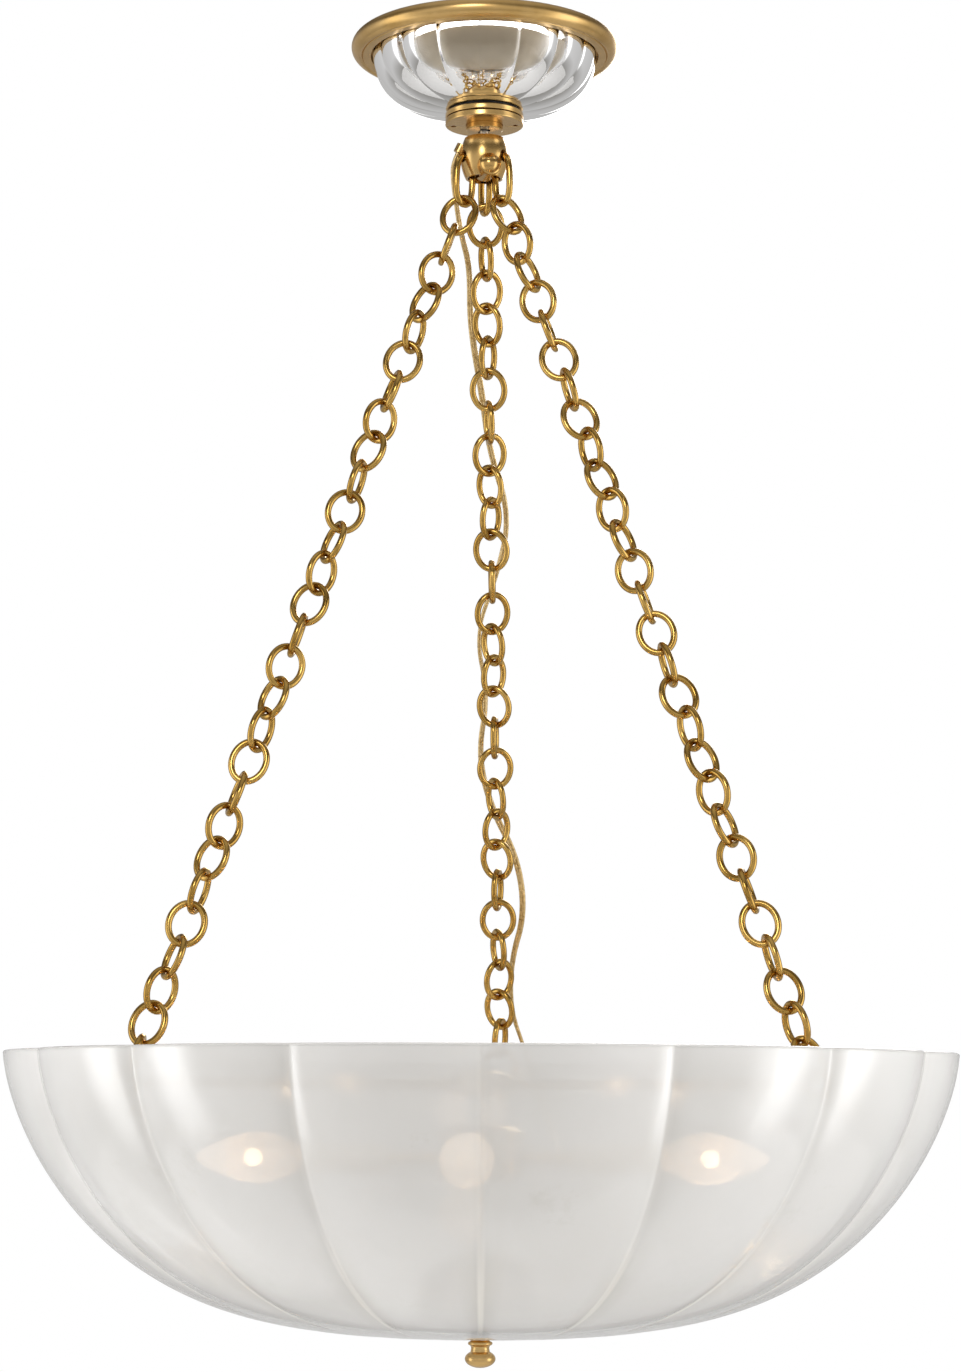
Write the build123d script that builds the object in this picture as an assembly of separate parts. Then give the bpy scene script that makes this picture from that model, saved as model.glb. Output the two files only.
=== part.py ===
from build123d import *
from math import asin, cos, degrees, radians, sin, sqrt, tan
import os

# A glass bowl light that hangs on three chains from a fluted glass canopy.
# Millimetres. The origin is the middle of the ceiling face, with the ceiling at z = 0.
# Front is -Y. Chains stand at azimuths 210, 330 and 90 degrees, the lamps at 270, 0, 90 and 180.

# Overall sizes
RIM_OVER_EYES = 20.31684
BOWL_RADIUS = 313.0
BOWL_DEPTH = 181.0
BOWL_WALL = 5.0
BOWL_FLUTES = 17
BOWL_FLUTE_FOCUS = 0.537
BOWL_FULLNESS = 1.54
BOWL_ROUNDNESS = 3.15
BOWL_FOOT_ANGLE = 85.0
BOWL_TURN = 19.3

# Clearances
SEAT_GAP = 0.3
ROD_FIT = 0.2
BEARING_FIT = 0.06
THREAD_FIT = 0.1
FACE_GAP = 0.05

# Canopy
RING_RADIUS = 91.0
RING_ROLL = 6.5
RING_BAND_RADIUS = 77.6
RING_LIP_RADIUS = 70.0
RING_DEPTH = 13.0
RING_SHEET = 2.0
DISH_RADIUS = 77.0
DISH_TOP = -9.0
DISH_BOTTOM = -51.0
DISH_WALL = 4.0
DISH_FLUTES = 16
DISH_FLUTE_FOCUS = 0.6
DISH_FULLNESS = 2.2
DISH_ROUNDNESS = 3.0
DISH_FOOT_ANGLE = 78.0
DISH_HOLE = 9.0
CUP_RADIUS = 56.0
CUP_FOOT_RADIUS = 23.0
CUP_SHEET = 1.0
CUP_TOP = -8.0
NIPPLE_RADIUS = 5.0
NIPPLE_BORE = 3.4
NUT_ACROSS = 16.0
NUT_HEIGHT = 4.0
BAR_LENGTH = 112.0
BAR_WIDTH = 22.0
BAR_THICK = 3.0
SLOT_SPACING = 88.9
SLOT_LENGTH = 14.0
SLOT_RADIUS = 2.4

# Swivel and hub
COLLAR_RADIUS = 26.6
COLLAR_HEIGHT = 4.0
COLLAR_GROOVE = 0.7
COLLAR_NUT_HEIGHT = 4.0
SPIGOT_RADIUS = 20.0
GASKET_THICK = 1.0
SEAT_FLANGE_RADIUS = 16.0
SEAT_NECK_RADIUS = 12.4
SEAT_DROP = 3.8
TRUNNION_RADIUS = 3.2
TRUNNION_LENGTH = 14.0
TRUNNION_AZIMUTH = 17.0
TILT_LIMIT = 10.0
STUD_RADIUS = 3.2
STUD_EYE_RADIUS = 4.7
WIRE_BORE = 1.8
BELL_TOP = -70.0
BELL_TOP_RADIUS = 13.4
BELL_RADIUS = 16.1
BELL_WIDEST = -81.0
BELL_BOTTOM = -98.0
BELL_BOTTOM_RADIUS = 12.6
BELL_WALL = 1.5
BELL_MOUTH = 9.5
PIN_Z = -92.0
PIN_RADIUS = 2.5
PIN_AZIMUTH = 287.0
BOSS_RADIUS = 7.8
BOSS_DOME = 6.0
BOSS_FACE = 16.6
BOSS_HEIGHT = 5.6
PIN_TAIL = 14.2
HUB_HOLE_RADIUS = 4.2

# Chains
CHAIN_AZIMUTHS = {"left": 210.0, "right": 330.0, "back": 90.0}
CHAIN_LINKS = 28
LINK_WIRE = 4.4
LINK_LENGTH = 31.6
LINK_WIDTH = 26.6
LINK_PLAY = 0.15
LINK_FLAT = 0.45
LINK_SIDE = 0.52
FIRST_LINK_R = 18.8
FIRST_LINK_Z = -125.8
LINK_TURNS = {"left": (-48.0, 69.5), "right": (20.0, 80.0), "back": (-4.0, 73.5)}
HUB_LINK_WIRE = 4.6
HUB_LINK_WIDTH = 20.4
HUB_LINK_FLAT = 0.76
HUB_LINK_TOP_R = 14.4
HUB_LINK_TOP_Z = -84.2
HUB_LINK_TURNS = {"left": 70.0, "right": 110.0, "back": 66.0}

# Frame in the bowl
EYE_WIRE = 5.0
EYE_RADIUS = 7.5
EYE_REACH = 247.86965
ARM_RADIUS = 3.5
SPIDER_RADIUS = 22.0
SPIDER_HEIGHT = 14.0
ROD_RADIUS = 5.0
ROD_BORE = 3.0
LAMP_AZIMUTHS = {"front": 270.0, "right": 0.0, "back": 90.0, "left": 180.0}
LAMP_DROP = 68.0
CLUSTER_RADIUS = 28.0
CLUSTER_HEIGHT = 30.0
CLUSTER_SHEET = 2.0
LAMP_ARM_RADIUS = 4.0
LAMP_ARM_START = 23.0
SOCKET_START = 60.0
SOCKET_LENGTH = 56.0
SOCKET_RADIUS = 10.5
SOCKET_WALL = 1.2
BULB_BASE_RADIUS = 6.3
BULB_BASE_LENGTH = 22.0
BULB_RADIUS = 17.0
BULB_LENGTH = 92.0
BULB_NECK_RADIUS = 6.0

# Foot of the bowl
FOOT_WASHER_RADIUS = 20.0
FOOT_WASHER_THICK = 2.0
FOOT_PAD_THICK = 1.5
FINIAL_WASHER_RADIUS = 10.8
FINIAL_WASHER_THICK = 1.2
ROD_TAIL = 6.0
FINIAL_NECK_RADIUS = 8.0
FINIAL_NECK_HEIGHT = 8.9
FINIAL_BALL_RADIUS = 10.0
FINIAL_BALL_HEIGHT = 11.6

# Supply cord, from the hub down the upper side of the back chain and into the lamp cluster
CORD_DIAMETER = 4.6
CORD_INLET_AZIMUTH = 57.0
CORD_INLET_DROP = 60.0
CORD_ROUTE = [
    (-17.9, 0.0, -79.5),
    (-21.4, 0.2, -86.6),
    (-21.6, 3.0, -97.0),
    (-19.5, 8.5, -113.0),
    (-16.6, 17.0, -132.0),
    (-12.0, 42.0, -149.0),
    (-12.8, 56.4, -186.2),
    (-6.0, 76.4, -226.8),
    (-1.0, 93.8, -268.3),
    (13.2, 106.0, -311.9),
    (2.0, 126.6, -352.2),
    (-13.4, 136.8, -391.0),
    (-5.0, 157.0, -431.5),
    (-13.0, 169.0, -473.0),
    (-5.0, 187.4, -508.8),
    (14.0, 197.2, -544.8),
    (19.4, 205.0, -584.4),
    (8.0, 229.2, -618.0),
    (7.0, 243.6, -652.2),
    (16.5, 251.0, -680.0),
    (25.0, 250.0, -705.0),
    (33.0, 232.0, -727.0),
    (41.0, 198.0, -745.0),
    (46.5, 154.0, -757.0),
    (47.0, 108.0, -760.0),
    (41.6, 76.0, -755.0),
    (32.1, 49.4, -750.0),
    (16.77, 25.83, -750.0),
]


def turned(*points):
    """A solid of revolution about Z from straight runs through (radius, z) points."""
    return revolve(Plane.XZ * make_face(Polyline(*points, close=True)), Axis.Z)


def washer(outer, inner, top, thick):
    """A flat ring with its upper face at top."""
    return turned((inner, top), (outer, top), (outer, top - thick), (inner, top - thick))


def domed(crown, *points):
    """A turned part whose last point carries a dome that rises to the crown on the axis."""
    dome = TangentArc((0, crown), points[-1], tangent=(1, 0))
    outline = [Polyline(*points), dome, Line((0, crown), points[0])]
    return revolve(Plane.XZ * make_face(outline), Axis.Z)


def flat_ball(radius, height):
    """A ball squashed to a height."""
    half = Ellipse(radius, height / 2) & Pos(radius, 0) * Rectangle(2 * radius, height)
    return revolve(Plane.XZ * half, Axis.Z)


def hexagon_nut(across, bore, top, height):
    """A hexagon nut on the Z axis."""
    blank = extrude(RegularPolygon(across / 2, 6, major_radius=False), height)
    return Pos(0, 0, top - height) * (blank - extrude(Circle(bore), height))


def rod_along(azimuth, start, end, z, radius):
    """A round bar that lies along a radius of the light, from start to end."""
    lying = Rot(0, 90, 0) * Cylinder(radius, end - start)
    return Rot(0, 0, azimuth) * Pos((start + end) / 2, 0, z) * lying


def outward(azimuth, z, part):
    """Lays a part that was turned about Z along a radius, its zero on the axis."""
    return Rot(0, 0, azimuth) * Pos(0, 0, z) * Rot(0, 90, 0) * part


def flute_outline(radius, flutes, focus, z):
    """A closed plan outline of round flutes that meet in sharp creases.

    Each flute is an arc about a point at focus times the radius on the flute's middle line.
    """
    half = radians(180 / flutes)
    crease = focus * cos(half) + sqrt((1 - focus) ** 2 - (focus * sin(half)) ** 2)
    arcs = []
    for flute in range(flutes):
        left, middle, right = (2 * half * (flute + part) for part in (0, 0.5, 1))
        ends = [(radius * crease * cos(a), radius * crease * sin(a), z) for a in (left, right)]
        crown = (radius * cos(middle), radius * sin(middle), z)
        arcs.append(ThreePointArc(ends[0], crown, ends[1]))
    return Wire(arcs)


def fluted_body(radius, depth, flutes, focus, fullness, roundness, foot_angle):
    """A solid bowl below z = 0 whose flutes shrink with the profile down to a flat foot.

    On the profile, (r / radius) to the roundness plus (d / depth) to the fullness is one.
    """
    sections = []
    for step in (0, 0.12, 0.24, 0.36, 0.48, 0.59, 0.7, 0.8, 0.9, 1):
        angle = radians(foot_angle * step)
        low = depth * (sin(angle) / sin(radians(foot_angle))) ** (2 / fullness)
        wide = radius * cos(angle) ** (2 / roundness)
        sections.append(flute_outline(wide, flutes, focus, -low))
    return Solid.make_loft(sections, ruled=True)


def fluted_bowl(radius, depth, wall, hole, *form):
    """An even glass shell, open on top, with a round hole in its foot."""
    shell = fluted_body(radius, depth, *form) - fluted_body(radius - wall, depth - wall, *form)
    return shell - Pos(0, 0, -depth) * Cylinder(hole, 4 * wall)


def oval_link(length, width, wire, flat_share):
    """A closed link of six-sided wire, its long axis on Z and its width on X."""
    half_long, half_wide = (length - wire) / 2, (width - wire) / 2
    flat, side = flat_share * half_wide, LINK_SIDE * half_long
    corners = [
        (half_wide, 0),
        (half_wide, -side),
        (flat, -half_long),
        (-flat, -half_long),
        (-half_wide, -side),
        (-half_wide, side),
        (-flat, half_long),
        (flat, half_long),
        (half_wide, side),
    ]
    path = Polyline(*[(x, 0, z) for x, z in corners], close=True)
    section = Plane(origin=(half_wide, 0, 0), x_dir=(1, 0, 0), z_dir=(0, 0, -1))
    outline = section * RegularPolygon(1.1 * wire / 2, 6, rotation=30)
    return sweep(outline, path=path, transition=Transition.RIGHT)


def leaning(lean, turn, radius, z):
    """The place of a link whose long axis leans outward, in the plane of azimuth 0."""
    down = Vector(sin(radians(lean)), 0, -cos(radians(lean)))
    across = Vector(0, 1, 0)
    over = down.cross(across)
    wide = across * cos(radians(turn)) + over * sin(radians(turn))
    return Plane(origin=(radius, 0, z), x_dir=wide, z_dir=down * -1).location


# Places that follow from the sizes above
LINK_PITCH = LINK_LENGTH - 2 * LINK_WIRE - LINK_PLAY
# The last link's lower bar passes under the top of an arm's eye.
LAST_BAR = LINK_PITCH * (CHAIN_LINKS - 1) + (LINK_LENGTH - LINK_WIRE) / 2
EYE_TOP = LAST_BAR - (LINK_WIRE + EYE_WIRE) / 2 - LINK_PLAY
# The chains lean out from the hub to the eyes' reach.
CHAIN_LEAN = degrees(asin((EYE_REACH - FIRST_LINK_R) / (EYE_TOP + EYE_RADIUS)))
LEAN_OUT, LEAN_DOWN = sin(radians(CHAIN_LEAN)), -cos(radians(CHAIN_LEAN))
COLLAR_TOP = DISH_BOTTOM - GASKET_THICK
NUT_TOP = COLLAR_TOP - COLLAR_HEIGHT - COLLAR_GROOVE
NUT_BOTTOM = NUT_TOP - COLLAR_NUT_HEIGHT
FLANGE_TOP = COLLAR_TOP - 2.5
FLANGE_BOTTOM = NUT_TOP - 0.5
SEAT_BOTTOM = NUT_BOTTOM - SEAT_DROP
TRUNNION_Z = SEAT_BOTTOM + TRUNNION_RADIUS + 1.6


def along_chain(distance):
    """Radius and height of a point on a chain's line, measured from the first link's middle."""
    return FIRST_LINK_R + distance * LEAN_OUT, FIRST_LINK_Z + distance * LEAN_DOWN


# The hub link's lower bar passes under the first link's upper bar.
FIRST_BAR = -(LINK_LENGTH - LINK_WIRE) / 2
HUB_LINK_FOOT = along_chain(FIRST_BAR + (LINK_WIRE + HUB_LINK_WIRE) / 2 + SEAT_GAP)
# The bowl and what is in it hang at the height of the eyes.
EYE_R, EYE_Z = along_chain(EYE_TOP + EYE_RADIUS)
RIM_Z = EYE_Z + RIM_OVER_EYES
LAMP_Z = RIM_Z - LAMP_DROP
CORD_INLET_Z = RIM_Z - CORD_INLET_DROP
BOWL_FOOT = RIM_Z - BOWL_DEPTH
BOWL_FLOOR = BOWL_FOOT + BOWL_WALL


def canopy_ring():
    """Spun brass ring: a flat back on the ceiling, a rolled edge and an inner lip."""
    band = turned(
        (RING_LIP_RADIUS, DISH_TOP + SEAT_GAP + RING_SHEET),
        (RING_BAND_RADIUS, DISH_TOP + SEAT_GAP + RING_SHEET),
        (RING_BAND_RADIUS + 3, 0),
        (RING_RADIUS - RING_ROLL, 0),
        (RING_RADIUS - RING_ROLL, -RING_DEPTH),
        (RING_BAND_RADIUS, -RING_DEPTH),
        (RING_BAND_RADIUS, DISH_TOP + SEAT_GAP),
        (RING_LIP_RADIUS, DISH_TOP + SEAT_GAP),
    )
    roll = Pos(0, 0, -RING_ROLL) * Torus(RING_RADIUS - RING_ROLL, RING_ROLL)
    return band + roll


def canopy_glass():
    """Clear pressed-glass dish, fluted like the bowl."""
    form = (DISH_FLUTES, DISH_FLUTE_FOCUS, DISH_FULLNESS, DISH_ROUNDNESS, DISH_FOOT_ANGLE)
    dish = fluted_bowl(DISH_RADIUS, DISH_TOP - DISH_BOTTOM, DISH_WALL, DISH_HOLE, *form)
    return Pos(0, 0, DISH_TOP) * dish


def canopy_cup():
    """Thin metal cup that hides the wiring behind the clear glass."""
    floor = DISH_BOTTOM + DISH_WALL + FACE_GAP
    bore = NIPPLE_RADIUS + ROD_FIT
    return turned(
        (bore, floor),
        (CUP_FOOT_RADIUS, floor),
        (CUP_RADIUS * 0.8, floor + 14),
        (CUP_RADIUS, CUP_TOP),
        (CUP_RADIUS - CUP_SHEET, CUP_TOP),
        (CUP_RADIUS * 0.8 - CUP_SHEET, floor + 14 + CUP_SHEET / 2),
        (CUP_FOOT_RADIUS - CUP_SHEET / 2, floor + CUP_SHEET),
        (bore, floor + CUP_SHEET),
    )


def ceiling_bar():
    """Flat steel strap with two slots for the ceiling box and a hole for the nipple."""
    bar = extrude(Rectangle(BAR_LENGTH, BAR_WIDTH), -BAR_THICK)
    bar = fillet(bar.edges().filter_by(Axis.Z), 3)
    bar -= extrude(Circle(NIPPLE_RADIUS + THREAD_FIT), -BAR_THICK)
    for side in (-1, 1):
        slot = Pos(side * SLOT_SPACING / 2, 0) * SlotOverall(SLOT_LENGTH, 2 * SLOT_RADIUS)
        bar -= extrude(slot, -BAR_THICK)
    return bar


def canopy_nipple():
    """Threaded tube that carries everything and lets the wires through."""
    return washer(NIPPLE_RADIUS, NIPPLE_BORE, -FACE_GAP, -COLLAR_TOP + 2)


def nipple_nut():
    """Nut that locks the nipple under the ceiling bar."""
    top = -BAR_THICK - FACE_GAP
    return hexagon_nut(NUT_ACROSS, NIPPLE_RADIUS + THREAD_FIT, top, NUT_HEIGHT)


def cup_nut():
    """Nut that clamps the cup and the glass dish down on the collar."""
    top = DISH_BOTTOM + DISH_WALL + CUP_SHEET + 2 * FACE_GAP + NUT_HEIGHT
    return hexagon_nut(NUT_ACROSS, NIPPLE_RADIUS + THREAD_FIT, top, NUT_HEIGHT)


def dish_gasket():
    """Rubber ring under the glass dish."""
    thick = GASKET_THICK - 2 * FACE_GAP
    return washer(SPIGOT_RADIUS + 4, DISH_HOLE + 2, DISH_BOTTOM - FACE_GAP, thick)


def collar_ring():
    """Upper brass collar, threaded on the nipple, with a bore for the collar nut."""
    return turned(
        (NIPPLE_RADIUS + THREAD_FIT, COLLAR_TOP),
        (COLLAR_RADIUS - 1, COLLAR_TOP),
        (COLLAR_RADIUS, COLLAR_TOP - 1),
        (COLLAR_RADIUS, COLLAR_TOP - COLLAR_HEIGHT),
        (SPIGOT_RADIUS + THREAD_FIT, COLLAR_TOP - COLLAR_HEIGHT),
        (SPIGOT_RADIUS + THREAD_FIT, COLLAR_TOP - 2),
        (NIPPLE_RADIUS + THREAD_FIT, COLLAR_TOP - 2),
    )


def collar_nut():
    """Lower brass disc that screws into the collar and holds the swivel seat."""
    bore = SEAT_NECK_RADIUS + BEARING_FIT
    recess = SEAT_FLANGE_RADIUS + ROD_FIT
    body = turned(
        (bore, NUT_BOTTOM),
        (COLLAR_RADIUS - 1, NUT_BOTTOM),
        (COLLAR_RADIUS, NUT_BOTTOM + 1),
        (COLLAR_RADIUS, NUT_TOP),
        (SPIGOT_RADIUS, NUT_TOP),
        (SPIGOT_RADIUS, COLLAR_TOP - 2.2),
        (recess, COLLAR_TOP - 2.2),
        (recess, FLANGE_BOTTOM - BEARING_FIT),
        (bore, FLANGE_BOTTOM - BEARING_FIT),
    )
    for side in (-1, 1):
        body -= Pos(side * 21, 0, NUT_BOTTOM) * Cylinder(1.6, 3.6)
    return body


def swivel_seat():
    """Brass seat that turns in the collar nut and cradles the stud's cross bar."""
    body = turned(
        (0, FLANGE_TOP),
        (SEAT_FLANGE_RADIUS, FLANGE_TOP),
        (SEAT_FLANGE_RADIUS, FLANGE_BOTTOM),
        (SEAT_NECK_RADIUS, FLANGE_BOTTOM),
        (SEAT_NECK_RADIUS, SEAT_BOTTOM + 0.6),
        (SEAT_NECK_RADIUS - 0.6, SEAT_BOTTOM),
        (0, SEAT_BOTTOM),
    )
    pocket = TRUNNION_RADIUS + BEARING_FIT
    long = TRUNNION_LENGTH + 2 * ROD_FIT
    rise = FLANGE_TOP - TRUNNION_Z
    cradle = Rot(0, 90, 0) * Cylinder(pocket, long)
    cradle += Pos(0, 0, rise / 2) * Box(long, 2 * pocket, rise)
    swing = 2 * (STUD_RADIUS + 1 + (TRUNNION_Z - SEAT_BOTTOM) * tan(radians(TILT_LIMIT)))
    cradle += Pos(0, 0, -5) * Box(2 * STUD_RADIUS + 0.6, swing, 10)
    return body - Pos(0, 0, TRUNNION_Z) * Rot(0, 0, TRUNNION_AZIMUTH) * cradle


def swivel_stud():
    """Steel stud: a cross bar on top, a round shank, and an eye for the hub pin."""
    shoulder = TRUNNION_Z - 1
    stud = washer(STUD_RADIUS, 0, shoulder, shoulder - PIN_Z)
    half = TRUNNION_LENGTH / 2
    stud += rod_along(TRUNNION_AZIMUTH, -half, half, TRUNNION_Z, TRUNNION_RADIUS)
    stud += Pos(0, 0, PIN_Z) * Sphere(STUD_EYE_RADIUS)
    stud -= rod_along(PIN_AZIMUTH, -half, half, PIN_Z, PIN_RADIUS + BEARING_FIT)
    # The wires run down the shank and leave at its side, inside the hub.
    outlet = PIN_Z + 12
    stud -= washer(WIRE_BORE, 0, TRUNNION_Z + TRUNNION_RADIUS, TRUNNION_Z + TRUNNION_RADIUS - outlet)
    return stud - rod_along(180, 0, STUD_RADIUS + 1, outlet, WIRE_BORE)


def bell_profile(inset):
    """The hub's flank, inset from the outer face."""
    top, wide, bottom = BELL_TOP_RADIUS, BELL_RADIUS, BELL_BOTTOM_RADIUS
    return ThreePointArc(
        (top - inset, BELL_TOP), (wide - inset, BELL_WIDEST), (bottom - inset, BELL_BOTTOM)
    )


def bell_body(inset):
    """The hub as a solid of revolution, inset from its outer face."""
    flank = bell_profile(inset)
    low, high = (0, BELL_BOTTOM), (0, BELL_TOP)
    outline = [flank, Line(flank @ 1, low), Line(low, high), Line(high, flank @ 0)]
    return revolve(Plane.XZ * make_face(outline), Axis.Z)


def hub_bell():
    """Hollow brass hub that hangs on the pin, pierced for the three hub links.

    A flat boss carries the pin's head, and the open foot lets the links swing.
    """
    bell = bell_body(0) + rod_along(PIN_AZIMUTH, 0, BOSS_FACE, PIN_Z, BOSS_RADIUS)
    bell -= bell_body(BELL_WALL) & washer(BELL_RADIUS, 0, BELL_TOP - BELL_WALL, 2 * BELL_RADIUS)
    bell -= Pos(0, 0, BELL_TOP) * Cylinder(BELL_MOUTH, 3 * BELL_WALL)
    bell -= rod_along(PIN_AZIMUTH, -PIN_TAIL - 5, BOSS_FACE + 1, PIN_Z, PIN_RADIUS + FACE_GAP)
    for azimuth in CHAIN_AZIMUTHS.values():
        bell -= rod_along(azimuth, BELL_MOUTH, 2 * BELL_RADIUS, HUB_LINK_TOP_Z, HUB_HOLE_RADIUS)
    return bell - cord_gland_place(0) * Cylinder(CORD_DIAMETER / 2 + 0.6, 20)


def cord_gland_place(back):
    """On the line where the cord leaves the hub, back from the gland's face."""
    start, after = Vector(*CORD_ROUTE[0]), Vector(*CORD_ROUTE[1])
    out = (after - start).normalized()
    return Plane(origin=start - out * back, z_dir=out)


def cord_gland():
    """Brass bush that leads the cord out of the hub's shoulder."""
    length = 6.0
    bush = cord_gland_place(length / 2 + FACE_GAP) * Cylinder(CORD_DIAMETER / 2 + 1.1, length)
    return bush - bell_body(-FACE_GAP)


def hub_pin():
    """Cross pin with a stepped, domed head at the front right; its tail ends in the rear wall."""
    face = BOSS_FACE + FACE_GAP
    shank = washer(PIN_RADIUS, 0, face + 1, face + 1 + PIN_TAIL)
    head = domed(
        face + BOSS_HEIGHT,
        (0, face),
        (BOSS_RADIUS - 0.4, face),
        (BOSS_RADIUS - 0.4, face + 0.9),
        (BOSS_DOME + 0.5, face + 1.5),
        (BOSS_DOME, face + 2.2),
    )
    return outward(PIN_AZIMUTH, PIN_Z, shank + head)


def hub_links():
    """The three long links that pass through the hub's wall."""
    foot_r, foot_z = HUB_LINK_FOOT
    run, drop = foot_r - HUB_LINK_TOP_R, foot_z - HUB_LINK_TOP_Z
    length = sqrt(run**2 + drop**2)
    lean = degrees(run / length)
    link = oval_link(length + HUB_LINK_WIRE, HUB_LINK_WIDTH, HUB_LINK_WIRE, HUB_LINK_FLAT)
    links = []
    for name, azimuth in CHAIN_AZIMUTHS.items():
        middle = (HUB_LINK_TOP_R + run / 2, HUB_LINK_TOP_Z + drop / 2)
        place = leaning(lean, HUB_LINK_TURNS[name], *middle)
        links.append(Rot(0, 0, azimuth) * place * link)
    return Compound(children=links)


def chain(name):
    """One taut chain of separate links, each turned a little further than the one above."""
    link = oval_link(LINK_LENGTH, LINK_WIDTH, LINK_WIRE, LINK_FLAT)
    start, step = LINK_TURNS[name]
    links = []
    for count in range(CHAIN_LINKS):
        place = leaning(CHAIN_LEAN, start + step * count, *along_chain(LINK_PITCH * count))
        links.append(Rot(0, 0, CHAIN_AZIMUTHS[name]) * place * link)
    return Compound(children=links)


def spider_hub():
    """Turned disc on the centre rod that the three chain arms screw into."""
    top, bottom = EYE_Z + SPIDER_HEIGHT / 2, EYE_Z - SPIDER_HEIGHT / 2
    hub = turned(
        (ROD_RADIUS + ROD_FIT, top + 3),
        (ROD_RADIUS + 5, top + 3),
        (SPIDER_RADIUS - 3, top),
        (SPIDER_RADIUS, top - 3),
        (SPIDER_RADIUS, bottom + 3),
        (SPIDER_RADIUS - 3, bottom),
        (ROD_RADIUS + ROD_FIT, bottom),
    )
    for azimuth in CHAIN_AZIMUTHS.values():
        hub -= rod_along(azimuth, SPIDER_RADIUS - 10, SPIDER_RADIUS, EYE_Z, ARM_RADIUS + FACE_GAP)
    return hub


def spider_arm(azimuth):
    """Round arm with a forged eye for a chain's last link."""
    start, end = SPIDER_RADIUS - 9.8, EYE_R - EYE_RADIUS
    arm = rod_along(0, start, end, EYE_Z, ARM_RADIUS)
    eye = Pos(EYE_R, 0, EYE_Z) * Rot(90, 0, 0) * Torus(EYE_RADIUS, EYE_WIRE / 2)
    return Rot(0, 0, azimuth) * (arm + eye)


def centre_rod():
    """Threaded tube from the spider down through the bowl's foot."""
    top = EYE_Z + SPIDER_HEIGHT / 2 + 3 + NUT_HEIGHT + 2
    return washer(ROD_RADIUS, ROD_BORE, top, top - BOWL_FOOT + ROD_TAIL)


def rod_nuts():
    """Nuts on the rod: over the spider, under the cluster and over the foot washer."""
    bore = ROD_RADIUS + THREAD_FIT
    tops = [
        EYE_Z + SPIDER_HEIGHT / 2 + 3 + FACE_GAP + NUT_HEIGHT,
        LAMP_Z - CLUSTER_HEIGHT / 2 - FACE_GAP,
        BOWL_FLOOR + FOOT_PAD_THICK + FOOT_WASHER_THICK + 3 * FACE_GAP + NUT_HEIGHT,
    ]
    return Compound(children=[hexagon_nut(NUT_ACROSS, bore, top, NUT_HEIGHT) for top in tops])


def cluster_body():
    """Brass cup that holds the wiring joints and carries the four lamp arms."""
    top, bottom = LAMP_Z + CLUSTER_HEIGHT / 2, LAMP_Z - CLUSTER_HEIGHT / 2
    inner = CLUSTER_RADIUS - CLUSTER_SHEET
    cup = turned(
        (ROD_RADIUS + ROD_FIT, bottom),
        (CLUSTER_RADIUS - 6, bottom),
        (CLUSTER_RADIUS, bottom + 6),
        (CLUSTER_RADIUS, top),
        (inner, top),
        (inner, bottom + 7),
        (inner - 6, bottom + CLUSTER_SHEET),
        (ROD_RADIUS + ROD_FIT, bottom + CLUSTER_SHEET),
    )
    for azimuth in LAMP_AZIMUTHS.values():
        cup -= rod_along(azimuth, 20, 40, LAMP_Z, LAMP_ARM_RADIUS + FACE_GAP)
    cup -= rod_along(CORD_INLET_AZIMUTH, 20, 40, CORD_INLET_Z, CORD_DIAMETER / 2 + 1)
    return cup


def cluster_cap():
    """Domed lid on the cluster, with a finished edge."""
    top = LAMP_Z + CLUSTER_HEIGHT / 2 + FACE_GAP
    bore = ROD_RADIUS + ROD_FIT
    return turned(
        (bore, top),
        (CLUSTER_RADIUS + 1.5, top),
        (CLUSTER_RADIUS + 1.5, top + 2),
        (CLUSTER_RADIUS - 6, top + 6),
        (bore + 4, top + 8),
        (bore, top + 8),
        (bore, top + 6.5),
        (bore + 4, top + 6.5),
        (CLUSTER_RADIUS - 6.5, top + 4.5),
        (CLUSTER_RADIUS - 3, top + 1.6),
        (bore, top + 1.6),
    )


def cord_inlet():
    """Bush where the cord enters the cluster."""
    start, end = CLUSTER_RADIUS - CLUSTER_SHEET, sqrt(CORD_ROUTE[-1][0] ** 2 + CORD_ROUTE[-1][1] ** 2)
    bush = turned(
        (0, start),
        (CORD_DIAMETER / 2 + 0.9, start),
        (CORD_DIAMETER / 2 + 0.9, CLUSTER_RADIUS + 0.3),
        (CORD_DIAMETER / 2 + 2, CLUSTER_RADIUS + 0.3),
        (CORD_DIAMETER / 2 + 2, end - FACE_GAP),
        (0, end - FACE_GAP),
    )
    return outward(CORD_INLET_AZIMUTH, CORD_INLET_Z, bush)


def wire_connectors():
    """Two twist-on connectors that join the wires inside the cluster."""
    floor = LAMP_Z - CLUSTER_HEIGHT / 2 + CLUSTER_SHEET + SEAT_GAP
    cone = turned((0, 12), (3, 12), (4.2, 0), (0, 0))
    places = [Rot(0, 0, azimuth) * Pos(15, 0, floor) for azimuth in (45, 225)]
    return Compound(children=[place * cone for place in places])


def lamp_arm(azimuth):
    """Brass tube from the cluster to a socket."""
    end = SOCKET_START + 1
    tube = washer(LAMP_ARM_RADIUS, LAMP_ARM_RADIUS - 1, end, end - LAMP_ARM_START)
    return outward(azimuth, LAMP_Z, tube)


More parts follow.
